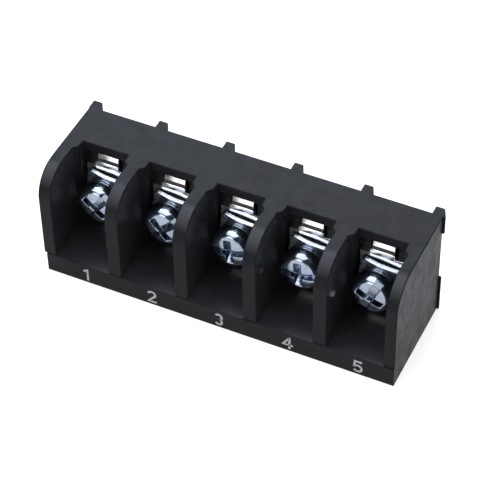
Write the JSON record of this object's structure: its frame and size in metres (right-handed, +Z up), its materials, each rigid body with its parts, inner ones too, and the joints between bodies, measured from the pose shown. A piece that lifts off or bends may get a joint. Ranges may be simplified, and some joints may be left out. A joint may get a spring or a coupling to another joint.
{
  "type": "barrier terminal block",
  "caption": "Black barrier terminal block for a circuit board, with a captive screw, lock washer and clamp plate over a tinned solder terminal in each open cavity.",
  "frame": {"origin": "middle of the flat back wall that the block lies on, at the middle of the row and of the depth", "axes": "+X along the row towards the last pole, +Y from the screw heads to the board side, +Z up from the back wall to the wire entry"},
  "size_m": [0.0494, 0.0194, 0.0165],
  "materials": {
    "housing": "moulded, satin",
    "terminal": "bright tin plate",
    "clamp_plate": "blue zinc plate",
    "lock_washer": "blue zinc plate",
    "screw": "blue zinc plate"
  },
  "bodies": {
    "block": {"housing": "housing", "terminal_1": "terminal", "terminal_2": "terminal", "terminal_3": "terminal", "terminal_4": "terminal", "terminal_5": "terminal"},
    "clamp_1": {"clamp_plate_1": "clamp_plate", "lock_washer_1": "lock_washer"},
    "screw_1": {"screw_1": "screw"},
    "clamp_2": {"clamp_plate_2": "clamp_plate", "lock_washer_2": "lock_washer"},
    "screw_2": {"screw_2": "screw"},
    "clamp_3": {"clamp_plate_3": "clamp_plate", "lock_washer_3": "lock_washer"},
    "screw_3": {"screw_3": "screw"},
    "clamp_4": {"clamp_plate_4": "clamp_plate", "lock_washer_4": "lock_washer"},
    "screw_4": {"screw_4": "screw"},
    "clamp_5": {"clamp_plate_5": "clamp_plate", "lock_washer_5": "lock_washer"},
    "screw_5": {"screw_5": "screw"}
  },
  "joints": [
    {"name": "clamp_1_slide", "type": "slide", "parent": "block", "child": "clamp_1", "axis": [0, -1, 0], "range_m": [0, 0.003]},
    {"name": "screw_1_turn", "type": "hinge", "parent": "clamp_1", "child": "screw_1", "pos_m": [-0.019, -0.00089, 0.0094], "axis": [0, -1, 0], "range_deg": [0, 2160]},
    {"name": "clamp_2_slide", "type": "slide", "parent": "block", "child": "clamp_2", "axis": [0, -1, 0], "range_m": [0, 0.003]},
    {"name": "screw_2_turn", "type": "hinge", "parent": "clamp_2", "child": "screw_2", "pos_m": [-0.0095, -0.00089, 0.0094], "axis": [0, -1, 0], "range_deg": [0, 2160]},
    {"name": "clamp_3_slide", "type": "slide", "parent": "block", "child": "clamp_3", "axis": [0, -1, 0], "range_m": [0, 0.003]},
    {"name": "screw_3_turn", "type": "hinge", "parent": "clamp_3", "child": "screw_3", "pos_m": [0, -0.00089, 0.0094], "axis": [0, -1, 0], "range_deg": [0, 2160]},
    {"name": "clamp_4_slide", "type": "slide", "parent": "block", "child": "clamp_4", "axis": [0, -1, 0], "range_m": [0, 0.003]},
    {"name": "screw_4_turn", "type": "hinge", "parent": "clamp_4", "child": "screw_4", "pos_m": [0.0095, -0.00089, 0.0094], "axis": [0, -1, 0], "range_deg": [0, 2160]},
    {"name": "clamp_5_slide", "type": "slide", "parent": "block", "child": "clamp_5", "axis": [0, -1, 0], "range_m": [0, 0.003]},
    {"name": "screw_5_turn", "type": "hinge", "parent": "clamp_5", "child": "screw_5", "pos_m": [0.019, -0.00089, 0.0094], "axis": [0, -1, 0], "range_deg": [0, 2160]}
  ],
  "couplings": [
    {"joint": "screw_1_turn", "follows": "clamp_1_slide", "rad_per_m": 12566},
    {"joint": "screw_2_turn", "follows": "clamp_2_slide", "rad_per_m": 12566},
    {"joint": "screw_3_turn", "follows": "clamp_3_slide", "rad_per_m": 12566},
    {"joint": "screw_4_turn", "follows": "clamp_4_slide", "rad_per_m": 12566},
    {"joint": "screw_5_turn", "follows": "clamp_5_slide", "rad_per_m": 12566}
  ]
}
